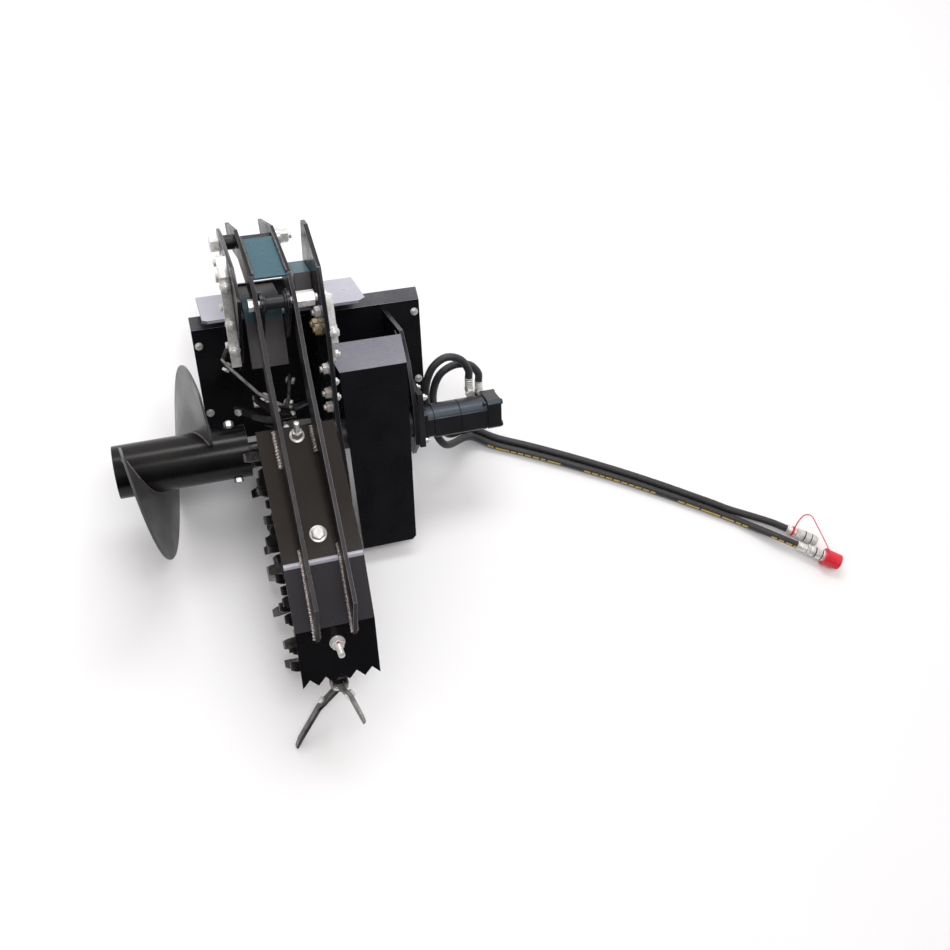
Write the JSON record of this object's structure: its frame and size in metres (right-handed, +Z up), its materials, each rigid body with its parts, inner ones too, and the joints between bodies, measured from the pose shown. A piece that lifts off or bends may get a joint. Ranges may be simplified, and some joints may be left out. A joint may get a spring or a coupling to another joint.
{
  "type": "trencher",
  "caption": "Hydraulic chain trencher attachment for a mini loader: boom with toothed chain, crumber shoe, spoil auger, drive motor, mount plate and two hoses.",
  "frame": {"origin": "on the ground, under the middle of the machine's bounding box without its two hoses", "axes": "+Z up; +X along the head shaft from the auger to the motor; -Y the way the boom points, +Y towards the loader"},
  "size_m": [2.0788, 1.4909, 0.6576],
  "materials": {
    "satin_black": "gloss",
    "dark_steel": "satin",
    "zinc": "satin",
    "motor_black": "satin",
    "hose_rubber": "matte",
    "red_plastic": "satin"
  },
  "bodies": {
    "frame": {"bearing_housing": "satin_black", "boom_bar": "satin_black", "boom_bracket": "satin_black", "chain_guard": "satin_black", "clamp_bolt_1": "zinc", "clamp_bolt_2": "zinc", "cutter_01": "dark_steel", "cutter_02": "dark_steel", "cutter_03": "dark_steel", "cutter_04": "dark_steel", "cutter_05": "dark_steel", "cutter_06": "dark_steel", "cutter_07": "dark_steel", "cutter_08": "dark_steel", "cutter_09": "dark_steel", "cutter_10": "dark_steel", "cutter_11": "dark_steel", "digging_chain": "dark_steel", "dust_cap": "red_plastic", "hood": "satin_black", "hose_1": "hose_rubber", "hose_2": "hose_rubber", "hose_coupler_1": "zinc", "hose_coupler_2": "zinc", "hydraulic_motor": "motor_black", "link_bar_left": "zinc", "link_bar_right": "zinc", "lower_lug_left": "satin_black", "lower_lug_right": "satin_black", "motor_flange": "motor_black", "motor_side_plate": "satin_black", "mount_plate": "satin_black", "pivot_bolt": "zinc", "pivot_lug_left": "satin_black", "pivot_lug_right": "satin_black", "pivot_tube": "satin_black", "port_fitting_1": "zinc", "port_fitting_2": "zinc", "shaft_bearing_1": "dark_steel", "shaft_bearing_2": "dark_steel", "shelf_plate": "satin_black", "side_plate_left": "satin_black", "side_plate_right": "satin_black", "tower_cross_plate": "satin_black", "tower_stop_block": "satin_black"},
    "auger_drive": {"head_shaft": "dark_steel", "head_sprocket": "dark_steel", "auger_tube": "satin_black", "auger_hub": "satin_black", "auger_flight": "satin_black", "auger_bolt": "zinc"},
    "nose_slider": {"nose_fork": "satin_black", "idler_axle": "zinc"},
    "nose_wheel": {"nose_idler": "dark_steel"},
    "crumber": {"crumber_arm_left": "satin_black", "crumber_arm_right": "satin_black", "crumber_shoe": "satin_black", "crumber_top_plate": "satin_black", "stop_pin": "zinc", "stop_pin_spacer": "satin_black"}
  },
  "joints": [
    {"name": "auger_drive_spin", "type": "hinge", "parent": "frame", "child": "auger_drive", "pos_m": [-0.066, 0.0388, 0.252], "axis": [1, 0, 0], "continuous": true},
    {"name": "boom_tension_slide", "type": "slide", "parent": "frame", "child": "nose_slider", "axis": [0, 0.984, 0.1779], "range_m": [0, 0.02]},
    {"name": "nose_wheel_spin", "type": "hinge", "parent": "nose_slider", "child": "nose_wheel", "pos_m": [-0.066, -0.55458, 0.1447], "axis": [1, 0, 0], "continuous": true},
    {"name": "crumber_lift", "type": "hinge", "parent": "frame", "child": "crumber", "pos_m": [-0.066, 0.27831, 0.60219], "axis": [-1, 0, 0], "range_deg": [0, 12]}
  ],
  "couplings": [
    {"joint": "nose_wheel_spin", "follows": "auger_drive_spin", "ratio": 1.5}
  ]
}
